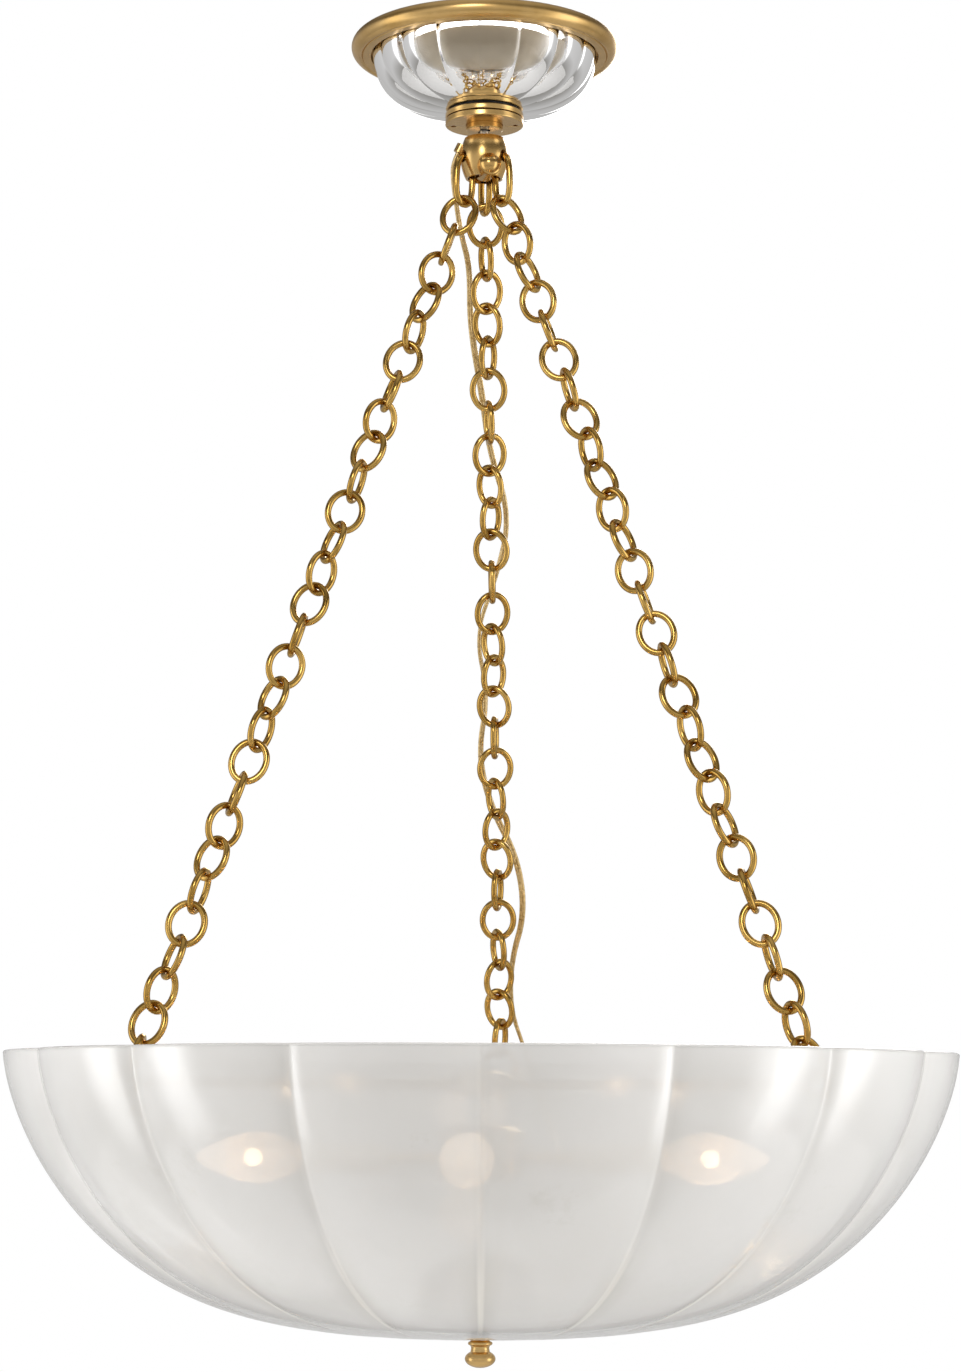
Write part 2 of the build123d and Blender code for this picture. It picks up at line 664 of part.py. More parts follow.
def lamp_socket(azimuth):
    """Socket sleeve with a floor that the arm enters and a bore for the bulb's base."""
    start, end = SOCKET_START, SOCKET_START + SOCKET_LENGTH
    bore = BULB_BASE_RADIUS + BEARING_FIT
    base = end - BULB_BASE_LENGTH - 2
    sleeve = turned(
        (LAMP_ARM_RADIUS + FACE_GAP, start),
        (SOCKET_RADIUS - 2, start),
        (SOCKET_RADIUS, start + 3),
        (SOCKET_RADIUS, end),
        (bore, end),
        (bore, base),
        (SOCKET_RADIUS - SOCKET_WALL, base - 3),
        (SOCKET_RADIUS - SOCKET_WALL, start + 4),
        (LAMP_ARM_RADIUS + FACE_GAP, start + 2),
    )
    return outward(azimuth, LAMP_Z, sleeve)


def bulb_base(azimuth):
    """Screw cap of a small-base bulb, with its contact."""
    end = SOCKET_START + SOCKET_LENGTH
    start = end - BULB_BASE_LENGTH
    cap = turned(
        (0, start - 1.5),
        (2.2, start - 1.5),
        (2.6, start),
        (BULB_BASE_RADIUS - 1.5, start + 1.5),
        (BULB_BASE_RADIUS, start + 3),
        (BULB_BASE_RADIUS, end + 2),
        (0, end + 2),
    )
    return outward(azimuth, LAMP_Z, cap)


def bulb_glass(azimuth):
    """Candle-shaped glass envelope."""
    start = SOCKET_START + SOCKET_LENGTH + 2 + FACE_GAP
    length = BULB_LENGTH - BULB_BASE_LENGTH
    stations = [(0.68, 0.13), (1, 0.38), (0.84, 0.62), (0.46, 0.86)]
    flank = Spline(
        (BULB_NECK_RADIUS, start),
        *[(wide * BULB_RADIUS, start + high * length) for wide, high in stations],
        (0, start + length),
        tangents=[(0.4, 1), (-1, 0)],
    )
    axis = Line((0, start + length), (0, start))
    foot = Line((0, start), (BULB_NECK_RADIUS, start))
    envelope = revolve(Plane.XZ * make_face([flank, axis, foot]), Axis.Z)
    return outward(azimuth, LAMP_Z, envelope)


def glass_bowl():
    """Fluted bowl of white translucent glass with a hole in its flat foot."""
    form = (BOWL_FLUTES, BOWL_FLUTE_FOCUS, BOWL_FULLNESS, BOWL_ROUNDNESS, BOWL_FOOT_ANGLE)
    bowl = fluted_bowl(BOWL_RADIUS, BOWL_DEPTH, BOWL_WALL, ROD_RADIUS + 1, *form)
    return Pos(0, 0, RIM_Z) * Rot(0, 0, BOWL_TURN) * bowl


def foot_pad():
    """Rubber pad between the bowl's floor and the metal washer."""
    top = BOWL_FLOOR + FOOT_PAD_THICK + FACE_GAP
    return washer(FOOT_WASHER_RADIUS, ROD_RADIUS + ROD_FIT, top, FOOT_PAD_THICK)


def foot_washer():
    """Steel washer over the pad."""
    top = BOWL_FLOOR + FOOT_PAD_THICK + FOOT_WASHER_THICK + 2 * FACE_GAP
    return washer(FOOT_WASHER_RADIUS, ROD_RADIUS + ROD_FIT, top, FOOT_WASHER_THICK)


def finial_washer():
    """Thin pale washer under the bowl."""
    top = BOWL_FOOT - FACE_GAP
    return washer(FINIAL_WASHER_RADIUS, ROD_RADIUS + ROD_FIT, top, FINIAL_WASHER_THICK)


def finial():
    """Turned brass finial: two beads on a neck and a flattened ball, with a blind thread."""
    top = BOWL_FOOT - FINIAL_WASHER_THICK - 2 * FACE_GAP
    low = top - FINIAL_NECK_HEIGHT
    waist = FINIAL_NECK_RADIUS - 1.9
    body = washer(FINIAL_NECK_RADIUS - 1, 0, top, 2.6) + washer(waist, 0, top, FINIAL_NECK_HEIGHT + 2)
    for drop, bead in ((1.3, 1.3), (4.8, 1.2)):
        body += Pos(0, 0, top - drop) * Torus(FINIAL_NECK_RADIUS - bead, bead)
    ball = flat_ball(FINIAL_BALL_RADIUS, FINIAL_BALL_HEIGHT)
    body += Pos(0, 0, low - FINIAL_BALL_HEIGHT / 2) * ball
    depth = ROD_TAIL + SEAT_GAP
    return body - Pos(0, 0, BOWL_FOOT - depth / 2) * Cylinder(ROD_RADIUS + THREAD_FIT, depth)


def supply_cord():
    """The cord as straight runs joined by arcs, each as large as its two runs allow."""
    points = [Vector(*point) for point in CORD_ROUTE]
    runs = [b - a for a, b in zip(points, points[1:])]
    radii = []
    for before, after in zip(runs, runs[1:]):
        half_turn = radians(before.get_angle(after) / 2)
        radii.append(0.45 * min(before.length, after.length) / tan(half_turn))
    path = FilletPolyline(*points, radius=radii)
    print("cord radii", [round(radius) for radius in radii])
    tube = sweep(Plane(origin=points[0], z_dir=runs[0]) * Circle(CORD_DIAMETER / 2), path=path)
    expected = path.length * 3.14159 * CORD_DIAMETER**2 / 4
    print("cord length", round(path.length, 1), "volume ratio", round(tube.volume / expected, 4))
    return tube


nodes = {
    "canopy_ring": canopy_ring(),
    "canopy_glass": canopy_glass(),
    "canopy_cup": canopy_cup(),
    "ceiling_bar": ceiling_bar(),
    "canopy_nipple": canopy_nipple(),
    "nipple_nut": nipple_nut(),
    "cup_nut": cup_nut(),
    "dish_gasket": dish_gasket(),
    "collar_ring": collar_ring(),
    "collar_nut": collar_nut(),
    "swivel_seat": swivel_seat(),
    "swivel_stud": swivel_stud(),
    "hub_bell": hub_bell(),
    "hub_pin": hub_pin(),
    "cord_gland": cord_gland(),
    "hub_links": hub_links(),
    "spider_hub": spider_hub(),
    "centre_rod": centre_rod(),
    "rod_nuts": rod_nuts(),
    "cluster_body": cluster_body(),
    "cluster_cap": cluster_cap(),
    "cord_inlet": cord_inlet(),
    "wire_connectors": wire_connectors(),
    "glass_bowl": glass_bowl(),
    "foot_pad": foot_pad(),
    "foot_washer": foot_washer(),
    "finial_washer": finial_washer(),
    "finial": finial(),
    "supply_cord": supply_cord(),
}
for name, azimuth in CHAIN_AZIMUTHS.items():
    nodes["chain_" + name] = chain(name)
    nodes["spider_arm_" + name] = spider_arm(azimuth)
for name, azimuth in LAMP_AZIMUTHS.items():
    nodes["lamp_arm_" + name] = lamp_arm(azimuth)
    nodes["lamp_socket_" + name] = lamp_socket(azimuth)
    nodes["bulb_base_" + name] = bulb_base(azimuth)
    nodes["bulb_glass_" + name] = bulb_glass(azimuth)

os.makedirs("parts", exist_ok=True)
for name, shape in nodes.items():
    export_step(shape, "parts/" + name + ".step")
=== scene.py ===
import math
import bpy
from mathutils import Matrix, Vector


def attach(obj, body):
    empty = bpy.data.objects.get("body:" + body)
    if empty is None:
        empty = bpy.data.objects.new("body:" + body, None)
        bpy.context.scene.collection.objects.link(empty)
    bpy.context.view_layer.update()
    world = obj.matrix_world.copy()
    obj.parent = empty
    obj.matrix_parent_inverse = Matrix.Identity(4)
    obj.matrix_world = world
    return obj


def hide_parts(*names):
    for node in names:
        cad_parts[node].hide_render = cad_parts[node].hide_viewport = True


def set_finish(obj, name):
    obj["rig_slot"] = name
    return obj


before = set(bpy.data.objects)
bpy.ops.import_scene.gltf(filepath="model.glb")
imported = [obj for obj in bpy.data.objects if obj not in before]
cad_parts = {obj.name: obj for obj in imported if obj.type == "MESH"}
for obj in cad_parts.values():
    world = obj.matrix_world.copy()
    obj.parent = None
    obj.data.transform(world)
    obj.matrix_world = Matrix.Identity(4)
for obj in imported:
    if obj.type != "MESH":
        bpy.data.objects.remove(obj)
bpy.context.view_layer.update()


# The studio. A camera just below the bowl's rim looks up a little at the whole light, with
# tall softboxes at both sides, a pale floor far below and a white wall all round.
EYE_DISTANCE = 2.2
EYE_BEARING = math.radians(3.4)
EYE_Z = -0.7357
PITCH = math.radians(7.5)
ROLL = math.radians(0.2)
LENS_MM, SENSOR_MM = 58.19, 24.0
FLOOR_Z = -3.0
EYE_ASIDE = -0.0013
WALL_WHITE, WALL_GREY, WALL_DARK = (1, 1, 1, 1), (0.42, 0.42, 0.42, 1), (0.20, 0.20, 0.19, 1)
SKY_DIM = (0.10, 0.09, 0.07, 1)
SKY_BRIGHT = (0.95, 0.95, 0.96, 1)
SOFT_MIDDLE, SOFT_SIDE = (0.37, 0.352, 0.335, 1), (3.05, 3.07, 3.12, 1)
FRONT_SHARE, BEHIND_SHARE = 0.75, 0.45


class Value:
    """A socket's value in a node tree, with the sums that the finishes are written in."""

    def __init__(self, tree, socket):
        self.tree = tree
        self.socket = socket

    def sum(self, operation, *terms):
        return node(self.tree, "ShaderNodeMath", {"operation": operation}, dict(enumerate(terms)))

    def __add__(self, other):
        return self.sum("ADD", self, other)

    def __sub__(self, other):
        return self.sum("SUBTRACT", self, other)

    def __rsub__(self, other):
        return self.sum("SUBTRACT", other, self)

    def __mul__(self, other):
        return self.sum("MULTIPLY", self, other)

    def __pow__(self, other):
        return self.sum("POWER", self, other)

    __radd__ = __add__
    __rmul__ = __mul__


def node(tree, kind, settings=None, inputs=None, output=0):
    """Adds any node: its settings first, then what its sockets hold or are linked to."""
    made = tree.nodes.new(kind)
    for name, setting in (settings or {}).items():
        if name == "stops":
            ramp = made.color_ramp.elements
            while len(ramp) < len(setting):
                ramp.new(0.5)
            for stop, (place, colour) in zip(ramp, setting):
                stop.position = place
                stop.color = colour
        else:
            setattr(made, name, setting)
    for name, item in (inputs or {}).items():
        if isinstance(item, Value):
            tree.links.new(item.socket, made.inputs[name])
        else:
            made.inputs[name].default_value = item
    return Value(tree, made.outputs[output]) if made.outputs else None


def blend(tree, share, first, second, how="MIX"):
    """A colour mixed from two by a share."""
    settings = {"data_type": "RGBA", "blend_type": how}
    return node(tree, "ShaderNodeMix", settings, {0: share, 6: first, 7: second}, 2)


camera = bpy.data.objects.new("camera", bpy.data.cameras.new("camera"))
bpy.context.collection.objects.link(camera)
camera.data.sensor_fit = "VERTICAL"
camera.data.sensor_height = SENSOR_MM
camera.data.lens = LENS_MM
turn = Matrix.Rotation(EYE_BEARING, 4, "Z") @ Matrix.Rotation(math.pi / 2 + PITCH, 4, "X")
stand = Matrix.Rotation(EYE_BEARING, 4, "Z") @ Vector((EYE_ASIDE, -EYE_DISTANCE, EYE_Z))
camera.matrix_world = Matrix.Translation(stand) @ turn @ Matrix.Rotation(ROLL, 4, "Z")
bpy.context.scene.camera = camera
bpy.context.scene.view_settings.view_transform = "Standard"

world = bpy.data.worlds.new("studio")
bpy.context.scene.world = world
world.use_nodes = True
sky = world.node_tree
sky.nodes.clear()
seen = node(sky, "ShaderNodeLightPath")
rays = seen.socket.node.outputs
facing = node(sky, "ShaderNodeTexCoord")
split = node(sky, "ShaderNodeSeparateXYZ", {}, {0: facing}).socket.node.outputs
stops = [(0.10, SKY_DIM), (0.38, SKY_BRIGHT), (0.58, SKY_BRIGHT), (0.76, SKY_DIM), (1, SKY_BRIGHT)]
height = Value(sky, split["Z"]) * 0.5 + 0.5
band = node(sky, "ShaderNodeValToRGB", {"stops": stops}, {0: height})
behind = Value(sky, split["Y"]) * 0.5 + 0.5
band = blend(sky, behind * (BEHIND_SHARE - FRONT_SHARE) + FRONT_SHARE, SKY_DIM, band)
sides = Value(sky, split["X"])
soft = blend(sky, (sides * sides) ** 2, SOFT_MIDDLE, SOFT_SIDE)
soft = blend(sky, Value(sky, rays["Is Diffuse Ray"]), band, soft)
wall_stops = [(0.30, WALL_DARK), (0.80, WALL_GREY), (0.95, WALL_WHITE)]
wall = node(sky, "ShaderNodeValToRGB", {"stops": wall_stops}, {0: behind})
through = blend(sky, Value(sky, rays["Is Transmission Ray"]), soft, wall)
white = blend(sky, Value(sky, rays["Is Camera Ray"]), through, WALL_WHITE)
glow = node(sky, "ShaderNodeBackground", {}, {"Color": white, "Strength": 1.0})
node(sky, "ShaderNodeOutputWorld", {}, {"Surface": glow})


FOOT_FADE, FADE_POWER = 2.2, 1.5


def softbox(name, bearing, distance, z, wide, tall, watts, aim_z):
    """A soft lamp on a stand, aimed at the light's axis, dimmer at its sides and foot."""
    lamp = bpy.data.lights.new(name, "AREA")
    lamp.shape = "RECTANGLE"
    lamp.size, lamp.size_y = wide, tall
    lamp.energy = watts
    lamp.use_nodes = True
    cloth = lamp.node_tree
    spot = node(cloth, "ShaderNodeNewGeometry", {}, {}, "Parametric")
    across, along, _ = node(cloth, "ShaderNodeSeparateXYZ", {}, {0: spot}).socket.node.outputs
    side = Value(cloth, across) * 2 - 1
    foot = 1 - side.sum("MINIMUM", Value(cloth, along) * FOOT_FADE, 1.0)
    fade = (1 - side * side) ** FADE_POWER * (1 - foot * foot) ** FADE_POWER
    cloth.links.new(fade.socket, cloth.nodes["Emission"].inputs["Strength"])
    stand = bpy.data.objects.new(name, lamp)
    bpy.context.collection.objects.link(stand)
    angle = math.radians(bearing)
    place = Vector((distance * math.cos(angle), distance * math.sin(angle), z))
    aim = (Vector((0, 0, aim_z)) - place).to_track_quat("-Z", "Y").to_matrix().to_4x4()
    stand.matrix_world = Matrix.Translation(place) @ aim
    return stand


softbox("softbox_left", 193, 2.2, -1.0, wide=1.3, tall=3.2, watts=22, aim_z=-1.0)
softbox("softbox_right", -12, 2.2, -1.0, wide=1.6, tall=3.2, watts=32, aim_z=-1.0)
softbox("softbox_front", 262, 3.2, 0.9, wide=1.6, tall=1.0, watts=50, aim_z=-0.55)
softbox("softbox_back", 80, 2.6, 0.6, wide=2.2, tall=1.4, watts=60, aim_z=-0.55)

floor_mesh = bpy.data.meshes.new("floor")
FLOOR_HALF = 4.0
square = ((-1, -1), (1, -1), (1, 1), (-1, 1))
corners = [(x * FLOOR_HALF, y * FLOOR_HALF, FLOOR_Z) for x, y in square]
floor_mesh.from_pydata(corners, [], [(0, 1, 2, 3)])
floor = bpy.data.objects.new("floor", floor_mesh)
bpy.context.collection.objects.link(floor)


class Finish:
    """A material: one Principled shader whose plain values are set, and what varies is linked."""

    def __init__(self, name, **values):
        self.material = bpy.data.materials.new(name)
        self.material.use_nodes = True
        self.tree = self.material.node_tree
        self.shader = self.tree.nodes["Principled BSDF"]
        self.set(**values)

    def set(self, **values):
        for name, item in values.items():
            socket = self.shader.inputs[name.replace("_", " ")]
            if isinstance(item, Value):
                self.tree.links.new(item.socket, socket)
            else:
                socket.default_value = item

    def node(self, kind, settings=None, inputs=None, output=0):
        return node(self.tree, kind, settings, inputs, output)

    def place(self):
        """Where a point lies on the object, in metres."""
        return self.node("ShaderNodeTexCoord", {}, {}, "Object")

    def noise(self, scale, detail=3.0, roughness=0.5):
        inputs = {"Vector": self.place(), "Scale": scale, "Detail": detail, "Roughness": roughness}
        return self.node("ShaderNodeTexNoise", {}, inputs)

    def ramp(self, value, *stops):
        return self.node("ShaderNodeValToRGB", {"stops": stops}, {0: value})

    def blend(self, share, first, second, how="MIX"):
        return blend(self.tree, share, first, second, how)

    def see_through(self, share):
        """Lets a share of the light straight through, as thin spots do."""
        clear = self.node("ShaderNodeBsdfTransparent")
        body = Value(self.tree, self.shader.outputs[0])
        mixed = self.node("ShaderNodeMixShader", {}, {0: share, 1: body, 2: clear})
        self.tree.links.new(mixed.socket, self.tree.nodes["Material Output"].inputs["Surface"])

    def bump(self, height, strength, distance):
        inputs = {"Height": height, "Strength": strength, "Distance": distance}
        self.set(Normal=self.node("ShaderNodeBump", {}, inputs))


plaster = Finish("pale_floor", Roughness=0.9)
FLOOR_PALE, FLOOR_SPECK = (0.86, 0.86, 0.85, 1), (0.82, 0.82, 0.81, 1)
plaster.set(Base_Color=plaster.blend(plaster.noise(3.0), FLOOR_PALE, FLOOR_SPECK))
floor_mesh.materials.append(plaster.material)


# The canopy ring: spun brass with a flat back on the ceiling, a fat rolled edge, a fine seam
# inside the roll, and a bright flat band that comes down beside the glass.
RING_RADIUS = 0.091
RING_ROLL = 0.0065
RING_BAND = 0.0777
RING_LIP = 0.070
RING_BACK = -0.0067
RING_SHEET = 0.002
SPIN_STEPS, RING_STEPS = 128, 192
SPIN_LINES = 2600.0
CUT_SHARE, HOLD_SHARE = 0.42, 0.12
NEARLY_STRAIGHT = math.radians(80)


def arc(centre, radius, start, end, steps=12, flat=1.0):
    """Points of an arc in degrees in the (radius, height) plane."""
    turns = [math.radians(start + (end - start) * step / steps) for step in range(steps + 1)]
    x, y = centre
    return [(x + radius * math.cos(turn), y + flat * radius * math.sin(turn)) for turn in turns]


def softened(points, radius, steps=4):
    """A closed outline with each corner rounded, and a point held close beside each round."""
    outline = []
    for index, point in enumerate(points):
        corner = Vector(point)
        before, after = Vector(points[index - 1]), Vector(points[(index + 1) % len(points)])
        to_before, to_after = before - corner, after - corner
        half = to_before.angle(to_after) / 2
        longest = CUT_SHARE * min(to_before.length, to_after.length)
        cut = min(radius / math.tan(half), longest)
        if half > NEARLY_STRAIGHT:
            outline.append(tuple(corner))
            continue
        first = corner + to_before.normalized() * cut
        last = corner + to_after.normalized() * cut
        outline.append(tuple(first + to_before.normalized() * HOLD_SHARE * cut))
        for step in range(steps + 1):
            share = step / steps
            bend = (1 - share) ** 2 * first + 2 * share * (1 - share) * corner + share**2 * last
            outline.append(tuple(bend))
        outline.append(tuple(last + to_after.normalized() * HOLD_SHARE * cut))
    return outline


def show(name, vertices, faces, material, body, slot, *nodes, sharp=40, lay=Matrix()):
    """Makes a piece in its place and says what it rides on and which node it stands for."""
    mesh = bpy.data.meshes.new(name)
    mesh.from_pydata([lay @ Vector(vertex) for vertex in vertices], [], faces)
    mesh.validate()
    mesh.polygons.foreach_set("use_smooth", [True] * len(mesh.polygons))
    mesh.set_sharp_from_angle(angle=math.radians(sharp))
    mesh.materials.append(material.material)
    piece = bpy.data.objects.new(name, mesh)
    bpy.context.collection.objects.link(piece)
    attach(piece, body)
    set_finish(piece, slot)
    if nodes:
        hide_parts(*nodes)
    return piece


def spun(outline, steps=SPIN_STEPS):
    """Vertices and faces of a closed outline of (radius, height) turned about the axis."""
    count = len(outline)
    vertices = []
    for step in range(steps):
        angle = 2 * math.pi * step / steps
        for radius, height in outline:
            vertices.append((radius * math.cos(angle), radius * math.sin(angle), height))
    faces = []
    for step in range(steps):
        here, there = step * count, (step + 1) % steps * count
        for index in range(count):
            following = (index + 1) % count
            faces.append((here + index, there + index, there + following, here + following))
    return vertices, faces


def solid_spun(outline, steps=SPIN_STEPS):
    """As spun, for an open outline whose two ends lie on the axis."""
    count = len(outline) - 2
    vertices = [(0, 0, outline[0][1]), (0, 0, outline[-1][1])]
    for step in range(steps):
        angle = 2 * math.pi * step / steps
        for radius, height in outline[1:-1]:
            vertices.append((radius * math.cos(angle), radius * math.sin(angle), height))
    faces = []
    for step in range(steps):
        here, there = 2 + step * count, 2 + (step + 1) % steps * count
        faces.append((0, there, here))
        faces.append((1, here + count - 1, there + count - 1))
        for index in range(count - 1):
            faces.append((here + index, there + index, there + index + 1, here + index + 1))
    return vertices, faces


def brass(name, tint, worn, roughness, grain=0.0):
    """Brass with a faint bloom of darker lacquer, and fine lines where it was spun."""
    finish = Finish(name, Metallic=1.0)
    cloud = finish.noise(38.0, 4.0, 0.6)
    speck = finish.noise(900.0, 2.0)
    shade = finish.ramp(cloud, (0.35, worn), (0.62, tint))
    finish.set(Base_Color=shade)
    finish.set(Roughness=cloud * 0.10 + speck * 0.06 + (roughness - 0.08))
    if grain:
        split = finish.node("ShaderNodeSeparateXYZ", {}, {0: finish.place()}).socket.node.outputs
        across, along = Value(finish.tree, split["X"]), Value(finish.tree, split["Y"])
        reach = (across * across + along * along) ** 0.5 + Value(finish.tree, split["Z"])
        inputs = {"W": reach, "Scale": SPIN_LINES}
        lines = finish.node("ShaderNodeTexNoise", {"noise_dimensions": "1D"}, inputs)
        finish.bump(lines + speck * 0.3, grain, 0.0001)
    else:
        finish.bump(speck, 0.02, 0.0001)
    return finish


BRASS_TINT = (0.68, 0.45, 0.18, 1)
BRASS_WORN = (0.58, 0.36, 0.12, 1)
polished_brass = brass("polished_brass", BRASS_TINT, BRASS_WORN, 0.24)
spun_brass = brass("spun_brass", BRASS_TINT, BRASS_WORN, 0.30, 0.12)

seam = RING_RADIUS - RING_ROLL - 0.0008
ring_outline = [(RING_LIP, RING_BACK), (RING_BAND, RING_BACK), (RING_BAND + 0.003, -0.0002)]
ring_outline += arc((RING_RADIUS - RING_ROLL, -RING_ROLL), RING_ROLL, 92, -86, 28)
ring_outline += [(seam, -2 * RING_ROLL + 0.0011), (seam - 0.0006, -2 * RING_ROLL + 0.0002)]
ring_outline += arc((RING_BAND + 0.0009, -2 * RING_ROLL + 0.0009), 0.0009, 270, 180, 5)
ring_outline += [(RING_BAND, RING_BACK - RING_SHEET), (RING_LIP, RING_BACK - RING_SHEET)]
ring = spun(ring_outline, RING_STEPS)
show("ring", *ring, spun_brass, "canopy", "polished_brass", "canopy_ring", sharp=50)


# The glass dish: thick clear pressed glass with sixteen round flutes, shallow on its inside,
# that run down to a plain foot, and a rolled lip that the ring's band hides in part.
DISH_RADIUS = 0.077
DISH_TOP, DISH_BOTTOM = -0.009, -0.051
DISH_FLUTES = 16
DISH_FOCUS = 0.60
DISH_FULLNESS, DISH_ROUNDNESS = 2.2, 3.0
DISH_WALL = 0.004
DISH_HOLE = 0.009
DISH_FOOT = math.radians(78)
DISH_CREASE, DISH_GROOVE, DISH_INSIDE = 0.03, 0.012, 0.2
DISH_STEPS, DISH_FLUTE_STEPS = 36, 20
GROOVE_START, GROOVE_SPAN = 0.80, 0.20


def flute(share, flutes, focus, soft, groove):
    """How far out a flute lies at a share across it: a bulge with a round crease each side."""
    half = math.pi / flutes
    from_middle = max(0.0, 1 - math.hypot(1 - abs(2 * share - 1), 2 * soft))
    angle = half * from_middle
    side = focus * math.sin(angle)
    dip = max(0.0, (from_middle - GROOVE_START) / GROOVE_SPAN) ** 2
    return focus * math.cos(angle) + math.sqrt((1 - focus) ** 2 - side**2) - groove * dip


def bowl_curve(radius, depth, fullness, roundness, foot, steps):
    """Radius and drop from the rim to the foot of a bowl's rounded side."""
    curve = []
    for step in range(steps + 1):
        angle = foot * step / steps
        drop = depth * (math.sin(angle) / math.sin(foot)) ** (2 / fullness)
        curve.append((radius * math.cos(angle) ** (2 / roundness), -drop))
    return curve


def fluted_shell(curve_out, curve_in, flutes, focus, steps, turn, soft, groove, inner_share=1.0):
    """A closed shell between two curves from the rim down, with flutes that meet in creases."""
    shares = [0.5 - 0.5 * math.cos(math.pi * step / steps) for step in range(steps)]
    rows = [(radius, height, inner_share) for radius, height in reversed(curve_in)]
    rows += [(radius, height, 1.0) for radius, height in curve_out]
    vertices = []
    for radius, height, strength in rows:
        for count in range(flutes):
            for share in shares:
                angle = turn + 2 * math.pi * (count + share) / flutes
                reach = radius * (1 + strength * (flute(share, flutes, focus, soft, groove) - 1))
                vertices.append((reach * math.cos(angle), reach * math.sin(angle), height))
    around = flutes * steps
    faces = []
    for row in range(len(rows)):
        here, there = row * around, (row + 1) % len(rows) * around
        for index in range(around):
            following = (index + 1) % around
            faces.append((here + index, here + following, there + following, there + index))
    return vertices, faces


clear_glass = Finish("clear_pressed_glass", Transmission_Weight=1.0, IOR=1.5, Roughness=0.0)
GLASS_CLEAR, GLASS_SMOKE = (0.955, 0.95, 0.94, 1), (0.90, 0.90, 0.90, 1)
ripple = clear_glass.noise(55.0, 2.0)
clear_glass.set(Base_Color=clear_glass.blend(ripple, GLASS_CLEAR, GLASS_SMOKE))
clear_glass.bump(ripple, 0.25, 0.0008)

dish_shape = (DISH_FULLNESS, DISH_ROUNDNESS, DISH_FOOT, DISH_STEPS)
dish_out = bowl_curve(DISH_RADIUS, DISH_TOP - DISH_BOTTOM, *dish_shape)
dish_out = [(radius, DISH_TOP + drop) for radius, drop in dish_out]
dish_out[0] = (DISH_RADIUS - 0.0006, DISH_TOP)
dish_out.insert(1, (DISH_RADIUS, DISH_TOP - 0.0007))
dish_out.append((DISH_HOLE, DISH_BOTTOM))
dish_drop = DISH_TOP - DISH_BOTTOM - DISH_WALL
dish_in = bowl_curve(DISH_RADIUS - DISH_WALL, dish_drop, *dish_shape)
dish_in = [(radius, DISH_TOP + drop) for radius, drop in dish_in]
dish_in.append((DISH_HOLE, DISH_BOTTOM + DISH_WALL))
dish_fluting = (DISH_FLUTES, DISH_FOCUS, DISH_FLUTE_STEPS, 0.0, DISH_CREASE, DISH_GROOVE)
dish = fluted_shell(dish_out, dish_in, *dish_fluting, DISH_INSIDE)
show("dish", *dish, clear_glass, "canopy", "clear_glass", "canopy_glass", sharp=75)


# The cup behind the glass: thin spun metal with a champagne enamel, which hides the wiring. A
# nut on the nipple clamps it and the dish down on the collar.
champagne = Finish("champagne_enamel", Metallic=0.15, Coat_Weight=0.25, Coat_Roughness=0.2)
ENAMEL_LIGHT, ENAMEL_DARK = (0.86, 0.74, 0.55, 1), (0.74, 0.62, 0.44, 1)
enamel_cloud = champagne.noise(26.0, 4.0, 0.6)
champagne.set(Base_Color=champagne.ramp(enamel_cloud, (0.3, ENAMEL_DARK), (0.7, ENAMEL_LIGHT)))
champagne.set(Roughness=enamel_cloud * 0.12 + 0.26)
CUP_RADIUS, CUP_HOLE, CUP_HEIGHT = 0.056, 0.0052, 0.0389
CUP_FLOOR = DISH_BOTTOM + DISH_WALL + 0.00005
CUP_SHEET = 0.001
CUP_SLANT = CUP_SHEET * 0.7
cup_side = [(CUP_HOLE, 0.0), (0.021, 0.0), (0.0265, 0.0012), (0.033, 0.0048), (0.040, 0.0098)]
cup_side += [(0.0448, 0.0145), (0.0495, 0.0212), (0.0528, 0.028), (0.0551, 0.0345)]
cup_side += [(CUP_RADIUS, CUP_HEIGHT)]
cup_outer = [(radius, CUP_FLOOR + rise) for radius, rise in cup_side]
cup_inner = [(CUP_HOLE, CUP_FLOOR + CUP_SHEET)]
cup_inner += [(radius - CUP_SLANT, CUP_FLOOR + rise + CUP_SLANT) for radius, rise in cup_side[1:-1]]
cup_inner += [(CUP_RADIUS - CUP_SHEET, CUP_FLOOR + CUP_HEIGHT)]
cup = spun(cup_outer + cup_inner[::-1])
show("cup", *cup, champagne, "canopy", "champagne_metal", "canopy_cup")


# Under the dish: a rubber gasket, then the two-part brass collar. Its lower disc screws up
# into the upper one and has two holes for a pin spanner.
COLLAR_RADIUS = 0.0266
COLLAR_TOP, COLLAR_LOW = -0.052, -0.056
DISC_TOP, DISC_LOW = -0.0567, -0.0607
SPIGOT = 0.020
SEAT_BORE = 0.01246
EDGE = 0.0007
COLLAR_BORE, COLLAR_BEVEL, COLLAR_SHEET = 0.0051, 0.0008, 0.002
RECESS = SPIGOT + 0.0001
FLANGE_ROOM, FLANGE_TOP, FLANGE_LOW = 0.0162, -0.0542, -0.05726
collar = [
    (COLLAR_BORE, COLLAR_TOP), (COLLAR_RADIUS - COLLAR_BEVEL, COLLAR_TOP),
    (COLLAR_RADIUS, COLLAR_TOP - COLLAR_BEVEL), (COLLAR_RADIUS, COLLAR_LOW),
    (RECESS, COLLAR_LOW), (RECESS, COLLAR_TOP - COLLAR_SHEET),
    (COLLAR_BORE, COLLAR_TOP - COLLAR_SHEET),
]
collar = spun(softened(collar, EDGE))
show("collar_top", *collar, polished_brass, "canopy", "polished_brass", "collar_ring")
